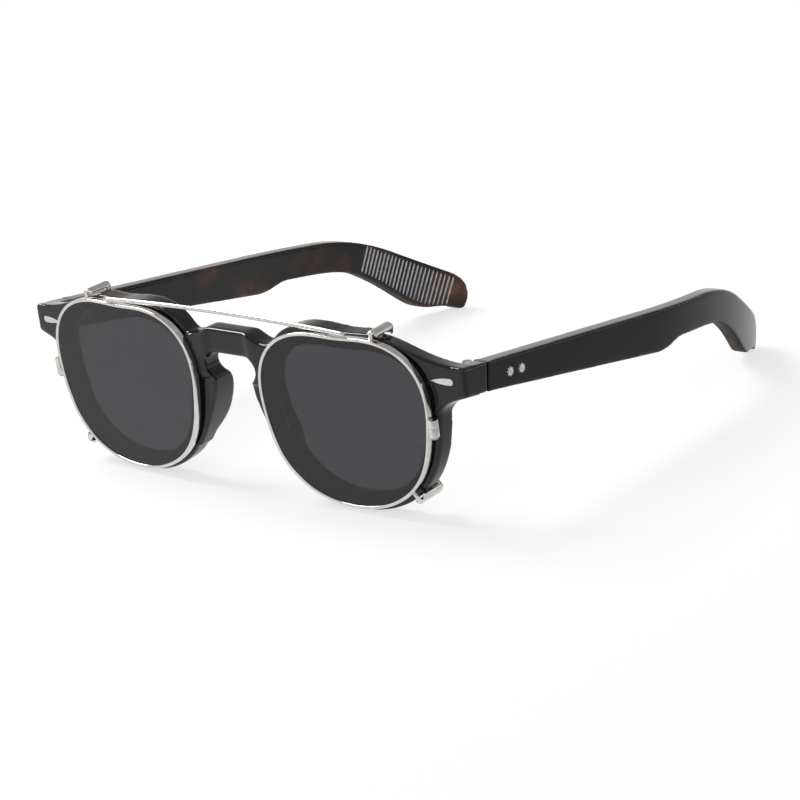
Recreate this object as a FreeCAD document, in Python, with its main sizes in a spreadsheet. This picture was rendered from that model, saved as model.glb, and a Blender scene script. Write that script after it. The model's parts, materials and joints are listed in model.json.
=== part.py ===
import FreeCAD, Part
import math
import os

Vector = FreeCAD.Vector
Placement = FreeCAD.Placement
Rotation = FreeCAD.Rotation

# Driving sizes in millimetres and degrees
driving_sizes = {
    # acetate front
    "front_radius": 650.0,
    "front_thickness": 5.2,
    "lens_gap": 23.8,
    "lens_half_width": 24.0,
    "lens_half_height": 21.1,
    "lens_squareness": 2.6,
    "lens_drop": 1.1,
    "rim_land": 1.6,
    "brow_land": 0.8,
    "rim_shift_out": 0.4,
    "rim_shift_down": 0.3,
    "rim_band": 4.1,
    "bridge_top": 17.9,
    "bridge_half_width": 6.6,
    "bridge_shoulder_fall": 1.9,
    "bridge_rise": 1.0,
    "bridge_recess": 0.5,
    "clip_room": 0.45,
    "keyhole_top": 11.4,
    "keyhole_half_width": 8.2,
    "keyhole_height": 3.6,
    "keyhole_round": 3.4,
    "nose_half_width": 6.0,
    "nose_top": 4.7,
    "nose_splay": 9.0,
    "brow_break": 8.6,
    "end_overhang": 10.6,
    # end lugs and the temple joint
    "temple_tilt": 9.2,
    "lug_length": 3.96,
    "joint_top": 13.9,
    "joint_gap": 0.3,
    "joint_height": 7.2,
    "lug_inset": 0.0,
    # optical lenses
    "optic_thickness": 2.0,
    "optic_seat": 0.8,
    "seat_clearance": 0.03,
    # nose pads
    "pad_width": 4.6,
    "pad_depth": 3.3,
    "pad_top": 6.0,
    "pad_level": -5.6,
    "pad_foot": -15.0,
    # hinges
    "knuckle_radius": 1.45,
    "knuckle_height": 1.0,
    "knuckle_play": 0.06,
    "leaf_thickness": 1.2,
    "leaf_length": 6.4,
    "leaf_gap": 0.15,
    "leaf_start": 0.8,
    "hinge_lean": 3.25,
    "hinge_pin_radius": 0.7,
    "running_clearance": 0.04,
    "screw_head_radius": 1.15,
    "screw_head_height": 0.5,
    "screw_slot": 0.3,
    # temples
    "temple_thickness": 4.5,
    "temple_straight": 67.0,
    "temple_bend_radius": 168.0,
    "temple_toe_in": 0.7,
    "belly_at": 70.5,
    "belly_height": 10.8,
    "waist_at": 82.0,
    "waist_height": 8.5,
    "knee_at": 106.6,
    "knee_round": 12.6,
    "drop_angle": 25.0,
    "neck_height": 9.6,
    "heel_at": 26.5,
    "heel_height": 12.1,
    "tip_at": 39.5,
    "tip_height": 9.0,
    "core_radius": 0.7,
    "core_start": 12.0,
    "core_end": 98.0,
    "core_drop": 4.6,
    "rib_pitch": 1.25,
    "rib_width": 0.42,
    "rib_depth": 0.22,
    "rib_length": 7.0,
    "rib_start": 4.6,
    "rib_lean": 17.0,
    "rib_drop": 5.1,
    "rivet_radius": 1.35,
    "rivet_waist": 0.84,
    "rivet_depth": 0.6,
    "rivet_proud": 0.12,
    "rivet_at": 8.5,
    "rivet_spacing": 4.5,
    "rivet_drop": 3.8,
    # plaques on the front
    "plaque_length": 6.2,
    "plaque_height": 1.7,
    "plaque_depth": 0.7,
    "plaque_proud": 0.15,
    "plaque_from_end": 6.3,
    "plaque_level": 11.8,
    # sun clip
    "clip_gap": 0.3,
    "clip_rim_width": 0.85,
    "clip_rim_depth": 1.9,
    "sun_lens_thickness": 1.0,
    "sun_lens_seat": 0.5,
    "bar_radius": 0.7,
    "bar_half_length": 39.6,
    "lock_level": 0.5,
    "lock_half_height": 2.1,
    "lock_split": 0.1,
    "lock_radius": 1.3,
    "lock_set_out": 0.75,
    "lock_head": 0.6,
    "lock_head_radius": 1.0,
    "lock_screw_radius": 0.5,
    "claw_width": 3.0,
    "claw_thickness": 1.3,
    "claw_round": 0.98,
    "claw_leg": 0.7,
    "claw_room": 0.35,
    "claw_hook": 3.2,
    "top_claw_angle": 62.0,
    "bottom_claw_angle": -44.0,
}

rib_count = 24
star_points = 8
outline_points = 36
knuckle_bands = 5
sides = {"right": 1, "left": -1}

doc = FreeCAD.newDocument("ClipOnSunglasses")
sheet = doc.addObject("Spreadsheet::Sheet", "Sizes")
for row, (alias, value) in enumerate(driving_sizes.items(), start=1):
    sheet.set("A%d" % row, alias)
    sheet.set("B%d" % row, str(value))
    sheet.setAlias("B%d" % row, alias)
doc.recompute()


def size(alias):
    return float(sheet.get(alias))


pieces = []


def keep(piece, label, frame):
    piece.Label = label
    pieces.append((piece, frame))
    return piece


# Sketches and features of one body

def origin_plane(body, role):
    return next(f for f in body.Origin.OriginFeatures if f.Role == role)


def new_body(name):
    return doc.addObject("PartDesign::Body", name)


def new_sketch(body, role, curves):
    sketch = body.newObject("Sketcher::SketchObject", body.Name + "_sketch")
    sketch.AttachmentSupport = [(origin_plane(body, role), "")]
    sketch.MapMode = "FlatFace"
    for curve in curves:
        sketch.addGeometry(curve, False)
    return sketch


def pad(body, role, curves, length):
    feature = body.newObject("PartDesign::Pad", body.Name + "_pad")
    feature.Profile = new_sketch(body, role, curves)
    feature.SideType = "Symmetric"
    feature.setExpression("Length", length)
    doc.recompute()
    return feature


def pocket(body, role, curves, length):
    before = body.Shape.Volume
    feature = body.newObject("PartDesign::Pocket", body.Name + "_pocket")
    feature.Profile = new_sketch(body, role, curves)
    feature.SideType = "Symmetric"
    feature.setExpression("Length", length)
    doc.recompute()
    if body.Shape.Volume >= before:
        raise RuntimeError("a pocket of %s cuts nothing" % body.Name)
    return feature


def loop_lines(points):
    closed = points + points[:1]
    return [Part.LineSegment(a, b) for a, b in zip(closed, closed[1:])]


def closed_curve(points):
    curve = Part.BSplineCurve()
    curve.interpolate(Points=points, PeriodicFlag=True)
    return curve


def open_curve(points):
    curve = Part.BSplineCurve()
    curve.interpolate(Points=points)
    return curve


def bezier(poles):
    curve = Part.BezierCurve()
    curve.setPoles(poles)
    return curve


# Lens outline: a rounded square drawn deeper below than above

def lens_point(angle):
    power = size("lens_squareness")
    across = abs(math.cos(angle) / size("lens_half_width")) ** power
    along = abs(math.sin(angle) / size("lens_half_height")) ** power
    radius = (across + along) ** (-1.0 / power) + size("lens_drop") * math.sin(3.0 * angle)
    return Vector(radius * math.cos(angle), radius * math.sin(angle), 0)


def lens_normal(angle):
    step = math.pi / 720.0
    tangent = lens_point(angle + step) - lens_point(angle - step)
    return Vector(tangent.y, -tangent.x, 0).normalize()


def lens_outline(offset, side, shift=Vector(0, 0, 0)):
    points = []
    for index in range(outline_points):
        angle = 2.0 * math.pi * index / outline_points
        point = lens_point(angle) + lens_normal(angle) * offset + shift
        points.append(Vector(side * point.x, point.y, 0))
    return closed_curve(points)


# The bent front: a slab rolled about an upright axis behind the wearer's face

lens_middle = size("lens_half_width") + size("lens_gap") / 2.0
end_half_width = lens_middle + size("lens_half_width") + size("end_overhang")
frame_shift = Vector(size("rim_shift_out"), -size("rim_shift_down"), 0)
rim_reach = 60.0
slab_back = 30.0
slab_margin = 1.2


def front_face_depth(across):
    radius = size("front_radius")
    return radius - math.sqrt(radius * radius - across * across)


def front_turn(across):
    return math.degrees(math.asin(across / size("front_radius")))


joint_back = front_face_depth(end_half_width) + size("front_thickness") + size("lug_length")


def rolled_arc(radius, half_angle):
    points = []
    for angle in (-half_angle, 0.0, half_angle):
        depth = size("front_radius") - radius * math.cos(angle)
        points.append(Vector(radius * math.sin(angle), depth, -rim_reach))
    return points


def rolled_sector(front, back):
    half_angle = slab_margin * end_half_width / size("front_radius")
    outer = rolled_arc(front, half_angle)
    inner = rolled_arc(back, half_angle)
    curves = [Part.Arc(*outer), Part.LineSegment(outer[2], inner[2]),
              Part.Arc(*inner), Part.LineSegment(inner[0], outer[0])]
    wire = Part.Wire(Part.__sortEdges__([curve.toShape() for curve in curves]))
    return Part.Face(wire).extrude(Vector(0, 0, 2.0 * rim_reach))


def front_slab():
    return rolled_sector(size("front_radius"), size("front_radius") - size("front_thickness"))


def upright_prism(curves, start=-slab_back, stop=slab_back, fall=0.0):
    wire = Part.Wire(Part.__sortEdges__([curve.toShape() for curve in curves]))
    face = Part.Face(wire)
    face.rotate(Vector(0, 0, 0), Vector(1, 0, 0), 90)
    face.translate(Vector(0, start, -start * fall))
    return face.extrude(Vector(0, stop - start, (start - stop) * fall))


def both_sides(shape):
    return shape.fuse(shape.mirror(Vector(0, 0, 0), Vector(1, 0, 0)))


def rim_prism(offset):
    centre = Vector(lens_middle, 0, 0) + frame_shift
    return upright_prism([lens_outline(offset, 1, centre)])


# The rim is broader beside the bridge, over this run of angles
brow_land_at = math.radians(128.0)
brow_land_run = math.radians(48.0)


def outer_rim_prism():
    centre = Vector(lens_middle, 0, 0) + frame_shift
    points = []
    for index in range(outline_points):
        angle = 2.0 * math.pi * index / outline_points
        share = min(abs(angle - brow_land_at) / brow_land_run, 1.0)
        land = size("rim_land") + size("brow_land") * math.cos(0.5 * math.pi * share) ** 2
        points.append(lens_point(angle) + lens_normal(angle) * land + centre)
    return upright_prism([closed_curve(points)])


def brow_angle():
    samples = [math.radians(40 + 0.25 * step) for step in range(200)]
    return min(samples, key=lambda angle: abs(lens_point(angle).x - size("brow_break")))


# Shares of a run at which the curves of the end pieces have their poles
brow_pull = (0.29, 0.5)
under_pull = ((0.45, 0.2), (0.08, 0.7))
side_start = 0.1
side_land = 0.75


def end_piece():
    centre = Vector(lens_middle, 0, 0)
    slope = math.tan(math.radians(size("temple_tilt")))
    end_top = size("joint_top") + joint_back * slope
    end_height = size("joint_height") / math.cos(math.radians(size("temple_tilt")))
    top = Vector(end_half_width, end_top, 0)
    bottom = Vector(end_half_width, end_top - end_height, 0)
    angle = brow_angle()
    outward = lens_normal(angle)
    start = lens_point(angle) + outward * size("rim_land") + centre + frame_shift
    run = top.x - start.x
    along = Vector(outward.y, -outward.x, 0)
    brow = bezier([start, start + along * (brow_pull[0] * run), top - Vector(brow_pull[1] * run, 0, 0), top])
    land = lens_normal(side_start) * (side_land * size("rim_land"))
    side_edge = lens_point(side_start) + land + centre + frame_shift
    drop = bottom.y - side_edge.y
    reach = bottom.x - side_edge.x
    (near_x, near_y), (far_x, far_y) = under_pull
    under = bezier([bottom, bottom - Vector(near_x * reach, near_y * drop, 0),
                    side_edge + Vector(far_x * reach, far_y * drop, 0), side_edge])
    end = [brow, Part.LineSegment(top, bottom), under,
           Part.LineSegment(side_edge, centre), Part.LineSegment(centre, start)]
    lift = Vector(0, size("lens_half_height"), 0)
    above = [brow, Part.LineSegment(top, top + lift), Part.LineSegment(top + lift, start + lift),
             Part.LineSegment(start + lift, start)]
    return upright_prism(end, fall=slope), upright_prism(above, fall=slope)


def flip(point):
    return Vector(-point.x, point.y, point.z)


def nose_prism():
    half = size("nose_half_width")
    splay = size("nose_splay")
    key_top = size("keyhole_top")
    key_half = size("keyhole_half_width")
    crown = Vector(key_half - size("keyhole_round"), key_top, 0)
    lobe = Vector(key_half, key_top - size("keyhole_height"), 0)
    lobe_rise = 0.41 * size("keyhole_height")
    lobe_fall = 0.43 * (lobe.y - size("nose_top"))
    corner = Vector(half, size("nose_top"), 0)
    foot = Vector(half + splay, -rim_reach / 4.0, 0)
    floor_corner = Vector(half + 2.0 * splay, -rim_reach, 0)
    fall = corner.y - foot.y
    runs = [
        [crown, crown + Vector(0.8 * size("keyhole_round"), 0, 0), lobe + Vector(0, lobe_rise, 0), lobe],
        [lobe, lobe - Vector(0, lobe_fall, 0), corner],
        [corner, corner + Vector(0.055 * splay, -0.3 * fall, 0),
         foot + Vector(-0.4 * splay, 0.25 * fall, 0), foot],
    ]
    curves = [bezier(run) for run in runs]
    curves += [bezier([flip(pole) for pole in run]) for run in runs]
    curves.append(Part.LineSegment(crown, flip(crown)))
    curves.append(Part.LineSegment(foot, floor_corner))
    curves.append(Part.LineSegment(flip(foot), flip(floor_corner)))
    curves.append(Part.LineSegment(floor_corner, flip(floor_corner)))
    return upright_prism(curves)


def nose_flange():
    reach = lens_middle / 2.0
    low = -rim_reach / 4.0
    top = size("keyhole_top")
    corners = [Vector(0, low, 0), Vector(reach, low, 0), Vector(reach, top, 0), Vector(0, top, 0)]
    return upright_prism(loop_lines(corners))


def upright_strip(half):
    corners = [Vector(-half, -rim_reach, 0), Vector(half, -rim_reach, 0),
               Vector(half, rim_reach, 0), Vector(-half, rim_reach, 0)]
    return upright_prism(loop_lines(corners))


def raised_bridge(block):
    radius = size("front_radius")
    face = radius + size("bridge_rise")
    layer = block.common(rolled_sector(face, radius - size("bridge_rise")))
    sunk = rolled_sector(face + size("bridge_rise"), face - size("bridge_recess"))
    clip_outline = lens_outline(size("clip_rim_width") + size("clip_room"), 1, Vector(lens_middle, 0, 0))
    layer = layer.cut(upright_strip(size("bridge_half_width")).common(sunk))
    return layer.cut(both_sides(upright_prism([clip_outline])))


def bridge_block():
    half = size("bridge_half_width")
    top = size("bridge_top")
    fall = size("bridge_shoulder_fall")
    reach = lens_middle / 2.0
    right = [Vector(half, top, 0), Vector(half + 2.0 * fall, top - fall, 0),
             Vector(reach, top - 1.5 * fall, 0), Vector(reach, size("nose_top"), 0)]
    left = [flip(point) for point in reversed(right)]
    return upright_prism(loop_lines(right + left))


# Temple frame: its origin is the top edge line of the joint, its second axis runs along the temple

temple_frame = Placement(Vector(0, joint_back, size("joint_top")),
                         Rotation(Vector(1, 0, 0), -size("temple_tilt")))
lug_out = end_half_width - size("lug_inset")
lug_in = lug_out - size("temple_thickness")
hinge_across = lug_in - size("leaf_gap") - size("knuckle_radius")
hinge_along = size("joint_gap") / 2.0
hinge_level = -size("joint_height") / 2.0
band = size("knuckle_height") + size("knuckle_play")
stack_height = knuckle_bands * band - size("knuckle_play")
leaf_start = size("leaf_start")

# The hinge stands upright between lug and temple, so its frame is turned back from the temple's
hinge_turn = Placement(Vector(0, 0, hinge_level),
                       Rotation(Vector(1, 0, 0), size("temple_tilt") - size("hinge_lean")))
hinge_frame = temple_frame.multiply(hinge_turn)


def in_frame(shape, frame):
    placed = shape.copy()
    placed.Placement = frame.multiply(placed.Placement)
    return placed


def lug_block():
    reach = size("lug_length") + size("front_thickness") / 2.0
    block = Part.makeBox(size("temple_thickness"), reach, size("joint_height"),
                         Vector(lug_in, -reach, -size("joint_height")))
    return in_frame(block, temple_frame)


def leaf_block(start, grow):
    corner = Vector(lug_in - size("leaf_gap"), start - grow, -stack_height / 2.0 - grow)
    return Part.makeBox(size("leaf_gap") + size("leaf_thickness") + grow, size("leaf_length") + 2.0 * grow,
                        stack_height + 2.0 * grow, corner)


front_leaf_start = -leaf_start - size("leaf_length")
temple_leaf_start = size("joint_gap") + leaf_start


# Frames of the lens seats and of the plaques on the front

def seat_frame(side, depth, shift=Vector(0, 0, 0)):
    across = lens_middle + shift.x
    place = Vector(side * across, front_face_depth(across) + depth, shift.y)
    return Placement(place, Rotation(Vector(0, 0, 1), side * front_turn(across)))


def plaque_frame(side, depth):
    across = end_half_width - size("plaque_from_end")
    place = Vector(side * across, front_face_depth(across) + depth, size("plaque_level"))
    return Placement(place, Rotation(Vector(0, 0, 1), side * front_turn(across)))


optic_depth = size("front_thickness") / 2.0
optic_offset = size("rim_land") - size("rim_band") + size("optic_seat")


def groove_cutter(side):
    half = size("optic_thickness") / 2.0 + size("seat_clearance")
    outline = lens_outline(optic_offset + size("seat_clearance"), side)
    return in_frame(upright_prism([outline], -half, half), seat_frame(side, optic_depth, frame_shift))


plaque_pull = 0.4


def plaque_outline(side, grow):
    half_height = size("plaque_height") / 2.0 + grow
    half_length = size("plaque_length") / 2.0 + grow
    straight = half_length - half_height
    blunt = Vector(side * straight, 0, 0)
    point = Vector(-side * half_length, 0, 0)
    top = Vector(side * straight, half_height, 0)
    bottom = Vector(side * straight, -half_height, 0)
    nose = blunt + Vector(side * half_height, 0, 0)
    return [Part.Arc(top, nose, bottom),
            bezier([bottom, Vector(-side * straight * plaque_pull, -half_height, 0), point]).toBSpline(),
            bezier([point, Vector(-side * straight * plaque_pull, half_height, 0), top]).toBSpline()]


def plaque_cutter(side):
    grow = size("seat_clearance")
    inner = size("plaque_depth") - size("plaque_proud") + grow
    prism = upright_prism(plaque_outline(side, grow), -size("front_thickness"), inner)
    return in_frame(prism, plaque_frame(side, 0))


def frame_front_shape():
    end, above = end_piece()
    slab = front_slab()
    rim = outer_rim_prism().cut(above).common(slab)
    block = bridge_block()
    middle = block.fuse(both_sides(nose_flange())).common(slab).fuse(raised_bridge(block))
    body = both_sides(rim.fuse(end.common(slab))).fuse(middle)
    body = body.cut(nose_prism())
    openings = both_sides(rim_prism(size("rim_land") - size("rim_band")))
    body = body.fuse(both_sides(lug_block())).removeSplitter().cut(openings)
    for side in sides.values():
        body = body.cut(groove_cutter(side))
        body = body.cut(plaque_cutter(side))
    leaf = in_frame(leaf_block(front_leaf_start, size("seat_clearance")), hinge_frame)
    return body.cut(both_sides(leaf))


frame_shape = frame_front_shape()


def shape_piece(label, shape, frame):
    piece = keep(doc.addObject("Part::Feature", label), label, frame)
    piece.Shape = shape
    return piece


def mirrored(shape, side):
    return shape if side > 0 else shape.mirror(Vector(0, 0, 0), Vector(1, 0, 0))


upright = Placement()
shape_piece("frame_front", frame_shape, upright)


# Built-up nose pads, set against the back of the front and flush with the nose edge

# Shares of depth and height at which the curves of the pad's side view have their poles
pad_top_pull = (0.9, 0.5)
pad_foot_pull = (0.45, 0.3, 0.12)


def nose_pad_shape():
    front = size("front_thickness") / 2.0
    back = size("front_thickness") + size("pad_depth")
    reach = back - front
    top = size("pad_top")
    level = size("pad_level")
    foot = size("pad_foot")
    runs = [
        [Vector(0, front, top), Vector(0, front + pad_top_pull[0] * reach, top),
         Vector(0, back, level + pad_top_pull[1] * (top - level)), Vector(0, back, level)],
        [Vector(0, back, level), Vector(0, back, level - pad_foot_pull[0] * (level - foot)),
         Vector(0, front + pad_foot_pull[1] * reach, foot + pad_foot_pull[2] * (level - foot)),
         Vector(0, front, foot)],
        [Vector(0, front, foot), Vector(0, front, top)],
    ]
    side_view = Part.Face(Part.Wire([bezier(run).toShape() for run in runs]))
    nose = nose_prism()
    strip = nose.copy()
    strip.translate(Vector(size("pad_width"), 0, 0))
    pad_body = side_view.extrude(Vector(lens_middle, 0, 0)).common(strip).cut(nose)
    back_radius = size("front_radius") - size("front_thickness") - size("seat_clearance")
    return pad_body.common(rolled_sector(back_radius, back_radius - 2.0 * reach))


pad_shape = nose_pad_shape()

# Lenses, plaques, rims and claws drawn as bodies on their own seats

clip_depth = -size("clip_gap") - size("clip_rim_depth") / 2.0


def optical_lens(name, side):
    body = new_body("optical_lens_" + name)
    pad(body, "XZ_Plane", [lens_outline(optic_offset, side)], "Sizes.optic_thickness")
    keep(body, "optical_lens_" + name, seat_frame(side, optic_depth, frame_shift))


def front_plaque(name, side):
    body = new_body("front_plaque_" + name)
    pad(body, "XZ_Plane", plaque_outline(side, 0.0), "Sizes.plaque_depth")
    depth = size("plaque_depth") / 2.0 - size("plaque_proud")
    keep(body, "front_plaque_" + name, plaque_frame(side, depth))


def lock_angle():
    samples = [math.radians(-20 + 0.1 * step) for step in range(400)]
    return min(samples, key=lambda angle: abs(lens_point(angle).y - size("lock_level")))


def clip_rim(name, side):
    body = new_body("clip_rim_" + name)
    rings = [lens_outline(size("clip_rim_width"), side), lens_outline(0.0, side)]
    pad(body, "XZ_Plane", rings, "Sizes.clip_rim_depth")
    seat = size("sun_lens_seat") + size("seat_clearance")
    groove = "Sizes.sun_lens_thickness + 2 * Sizes.seat_clearance"
    pocket(body, "XZ_Plane", [lens_outline(seat, side)], groove)
    edge = lens_point(lock_angle())
    half = size("lock_split") / 2.0
    inner = side * (edge.x - 2.0 * size("clip_rim_width"))
    outer = side * (edge.x + 2.0 * size("clip_rim_width"))
    split = [Vector(inner, edge.y - half, 0), Vector(outer, edge.y - half, 0),
             Vector(outer, edge.y + half, 0), Vector(inner, edge.y + half, 0)]
    pocket(body, "XZ_Plane", loop_lines(split), "4 * Sizes.clip_rim_depth")
    keep(body, "clip_rim_" + name, seat_frame(side, clip_depth))


def sun_lens(name, side):
    body = new_body("sun_lens_" + name)
    pad(body, "XZ_Plane", [lens_outline(size("sun_lens_seat"), side)], "Sizes.sun_lens_thickness")
    keep(body, "sun_lens_" + name, seat_frame(side, clip_depth))


def claw_rise(angle):
    outward = lens_normal(angle)
    frame_edge = size("rim_land") - size("clip_rim_width") + frame_shift.dot(outward)
    return max(frame_edge, 0.0) + size("claw_room") + size("claw_thickness")


def claw_reach(angle):
    across = lens_point(angle).x
    sag = across * across / (2.0 * size("front_radius"))
    middle = size("clip_rim_depth") / 2.0 + size("clip_gap")
    return middle + size("front_thickness") + sag + size("claw_room") + size("claw_leg")


def claw(name, side, angle):
    rise = claw_rise(angle)
    back = claw_reach(angle)
    front = -size("clip_rim_depth") / 2.0
    leg = size("claw_leg")
    under = rise - size("claw_thickness")
    profile = [Vector(front, 0, 0), Vector(front + leg, 0, 0), Vector(front + leg, under, 0),
               Vector(back - leg, under, 0), Vector(back - leg, rise - size("claw_hook"), 0),
               Vector(back, rise - size("claw_hook"), 0), Vector(back, rise, 0), Vector(front, rise, 0)]
    body = new_body(name)
    strap = pad(body, "YZ_Plane", loop_lines(profile), "Sizes.claw_width")
    long_edges = []
    for number, edge in enumerate(strap.Shape.Edges, start=1):
        on_top = all(abs(vertex.Z - rise) < 0.001 for vertex in edge.Vertexes)
        if on_top and abs(edge.tangentAt(0).y) > 0.9:
            long_edges.append("Edge%d" % number)
    fillet = body.newObject("PartDesign::Fillet", name + "_round")
    fillet.Base = (strap, long_edges)
    fillet.setExpression("Radius", "Sizes.claw_round")
    foot = lens_point(angle) + lens_normal(angle) * size("clip_rim_width")
    outward = lens_normal(angle)
    lean = math.degrees(math.atan2(side * outward.x, outward.y))
    seat = Placement(Vector(side * foot.x, 0, foot.y), Rotation(Vector(0, 1, 0), lean))
    keep(body, name, seat_frame(side, clip_depth).multiply(seat))


# Half barrels that close the split rim, with their screw

def lock_axis():
    edge = lens_point(lock_angle())
    return Vector(edge.x + size("clip_rim_width") + size("lock_set_out"), edge.y, 0)


def rim_lock_shape():
    axis = lock_axis()
    radius = size("lock_radius")
    rim = upright_prism([lens_outline(size("clip_rim_width"), 1)])
    halves = []
    height = size("lock_half_height")
    for start in (size("lock_split") / 2.0, -size("lock_split") / 2.0 - height):
        foot = Vector(axis.x, 0, axis.y + start)
        barrel = Part.makeCylinder(radius, height, foot)
        bore = Part.makeCylinder(size("lock_screw_radius") + size("seat_clearance"), height, foot)
        halves.append(barrel.cut(bore).cut(rim))
    return Part.makeCompound(halves)


def rim_lock_screw_shape():
    axis = lock_axis()
    length = 2.0 * size("lock_half_height") + size("lock_split")
    start = Vector(axis.x, 0, axis.y - length / 2.0)
    shaft = Part.makeCylinder(size("lock_screw_radius"), length, start)
    head_radius = size("lock_head_radius")
    head_corner = start - Vector(head_radius, head_radius, size("lock_head"))
    head_block = Part.makeBox(2.0 * head_radius, 2.0 * head_radius, size("lock_head"), head_corner)
    head = Part.makeSphere(head_radius, start).common(head_block)
    slot_corner = start - Vector(head_radius, size("screw_slot") / 2.0, size("lock_head"))
    slot = Part.makeBox(2.0 * head_radius, size("screw_slot"), size("screw_slot"), slot_corner)
    rim = upright_prism([lens_outline(size("clip_rim_width"), 1)])
    return shaft.fuse(head).cut(slot).cut(rim)


# Brow bar laid along the front edges of the tops of both rims

def brow_bar():
    samples = [math.radians(60 + 0.25 * step) for step in range(240)]
    top_angle = max(samples, key=lambda angle: lens_point(angle).y)
    crest = lens_point(top_angle) + lens_normal(top_angle) * size("clip_rim_width")
    rim_front = clip_depth - size("clip_rim_depth") / 2.0
    place = seat_frame(1, rim_front).multVec(Vector(crest.x, 0, crest.y))
    bar = doc.addObject("Part::Cylinder", "brow_bar")
    bar.setExpression("Radius", "Sizes.bar_radius")
    bar.setExpression("Height", "2 * Sizes.bar_half_length")
    foot = Vector(-size("bar_half_length"), place.y, place.z + size("bar_radius"))
    keep(bar, "brow_bar", Placement(foot, Rotation(Vector(0, 1, 0), 90)))


# Temples: the side view and the plan view cut from one block

def temple_profile():
    gap = size("joint_gap")
    drop = math.radians(size("drop_angle"))
    knee = Vector(0, size("knee_at"), 0)
    along = Vector(0, math.cos(drop), -math.sin(drop))
    down = Vector(0, -math.sin(drop), -math.cos(drop))
    tip = size("tip_at")
    tip_height = size("tip_height")
    heel = size("heel_at")
    heel_height = size("heel_height")
    neck = size("neck_height")

    def paddle(run, depth):
        return knee + along * run + down * depth

    def side_point(run, depth):
        return Vector(0, run, -depth)

    neck_end = 0.2 * heel
    waist = size("waist_height")
    waist_end = size("waist_at") + 0.6 * size("knee_round")
    waist_pull = 0.4 * (size("knee_at") - waist_end)
    belly = size("belly_height")
    step = size("waist_at") - size("belly_at")
    tip_top = 0.8 * tip
    tip_side = 0.85 * tip_height
    tip_under = 0.96 * tip
    runs = [
        [side_point(gap, 0), side_point(size("knee_at") - size("knee_round"), 0)],
        [side_point(size("knee_at") - size("knee_round"), 0), knee, paddle(size("knee_round"), 0)],
        [paddle(size("knee_round"), 0), paddle(tip_top, 0)],
        [paddle(tip_top, 0), paddle(0.94 * tip, 0), paddle(tip, 0.4 * tip_height), paddle(tip, tip_side)],
        [paddle(tip, tip_side), paddle(tip, tip_height), paddle(tip_under, tip_height)],
        [paddle(tip_under, tip_height), paddle(0.83 * tip, tip_height),
         paddle(heel + 0.3 * (tip - heel), heel_height), paddle(heel, heel_height)],
        [paddle(heel, heel_height), paddle(0.83 * heel, heel_height),
         paddle(0.6 * heel, neck), paddle(neck_end, neck)],
        [paddle(neck_end, neck), paddle(0.0, neck),
         side_point(waist_end + waist_pull, waist), side_point(waist_end, waist)],
        [side_point(waist_end, waist), side_point(size("waist_at"), waist)],
        [side_point(size("waist_at"), waist), side_point(size("waist_at") - 0.35 * step, waist),
         side_point(size("belly_at") + 0.48 * step, belly), side_point(size("belly_at"), belly)],
        [side_point(size("belly_at"), belly), side_point(gap, size("joint_height"))],
        [side_point(gap, size("joint_height")), side_point(gap, 0)],
    ]
    return Part.Face(Part.Wire([bezier(run).toShape() for run in runs]))


def plan_strip(outer_cut, inner_cut):
    toe = math.radians(size("temple_toe_in"))
    start = Vector(lug_out, 0, -rim_reach)
    along = Vector(-math.sin(toe), math.cos(toe), 0)
    inward = Vector(-math.cos(toe), -math.sin(toe), 0)
    bend_start = start + along * size("temple_straight")
    centre = bend_start + inward * size("temple_bend_radius")
    bent_length = size("knee_at") + size("tip_at") - size("temple_straight")
    last = slab_margin * bent_length / size("temple_bend_radius")

    def arc(radius):
        angles = (toe, toe + last / 2.0, toe + last)
        return [centre + Vector(math.cos(a), math.sin(a), 0) * radius for a in angles]

    outer = arc(size("temple_bend_radius") - outer_cut)
    inner = arc(size("temple_bend_radius") - inner_cut)
    outer_start = start + inward * outer_cut
    inner_start = start + inward * inner_cut
    curves = [Part.LineSegment(outer_start, outer[0]), Part.Arc(*outer),
              Part.LineSegment(outer[2], inner[2]), Part.Arc(*inner),
              Part.LineSegment(inner[0], inner_start), Part.LineSegment(inner_start, outer_start)]
    wire = Part.Wire(Part.__sortEdges__([curve.toShape() for curve in curves]))
    return Part.Face(wire).extrude(Vector(0, 0, 2.0 * rim_reach))


def rib_grooves():
    drop = math.radians(size("drop_angle"))
    lean = math.radians(size("rib_lean"))
    along = Vector(0, math.cos(drop), -math.sin(drop))
    down = Vector(0, -math.sin(drop), -math.cos(drop))
    rib_line = Vector(0, math.sin(lean), math.cos(lean)) * (size("rib_length") / 2.0)
    rib_side = Vector(0, math.cos(lean), -math.sin(lean)) * (size("rib_width") / 2.0)
    first = Vector(0, size("knee_at"), 0) + along * size("rib_start") + down * size("rib_drop")
    grooves = []
    for index in range(rib_count):
        middle = first + along * (size("rib_pitch") * index)
        corners = [middle + rib_line - rib_side, middle + rib_line + rib_side,
                   middle - rib_line + rib_side, middle - rib_line - rib_side]
        face = Part.Face(Part.makePolygon(corners + corners[:1]))
        grooves.append(face.extrude(Vector(2.0 * lug_out, 0, 0)))
    thickness = size("temple_thickness")
    skin = plan_strip(thickness - size("rib_depth"), thickness + size("rib_depth"))
    return skin.common(Part.makeCompound(grooves))


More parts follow.
